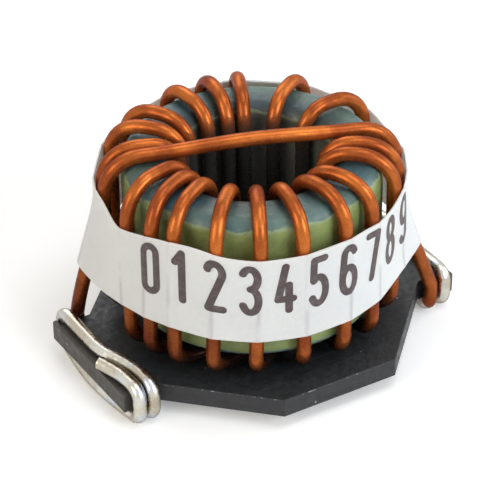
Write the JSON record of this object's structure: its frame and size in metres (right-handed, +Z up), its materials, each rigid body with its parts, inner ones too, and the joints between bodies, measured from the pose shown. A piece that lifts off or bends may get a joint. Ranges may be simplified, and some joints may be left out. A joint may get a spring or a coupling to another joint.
{
  "type": "surface mount power inductor",
  "caption": "Ring core wound with enamelled wire on an eight-sided base, with a paper band round the coil and tinned wire ends lapped round a tab at each end as solder feet.",
  "frame": {"origin": "on the board under the middle of the base, midway between the two terminals", "axes": "+Z up from the board, +X along the line from one terminal to the other"},
  "size_m": [0.031, 0.0254, 0.0186],
  "materials": {
    "base": "black laminate sheet, satin, with fine pale specks",
    "core": "satin coating, blue-green on the faces and olive green round the outside",
    "wire": "copper wire under glossy orange-brown enamel, with bright tinned ends",
    "tinned": "solder-tinned wire, bright with soft reflections",
    "label": "white paper, matt",
    "print": "dark brown-grey printed characters"
  },
  "bodies": {
    "root": {"base": "base", "core": "core", "winding": "wire", "label": "label"}
  },
  "joints": []
}
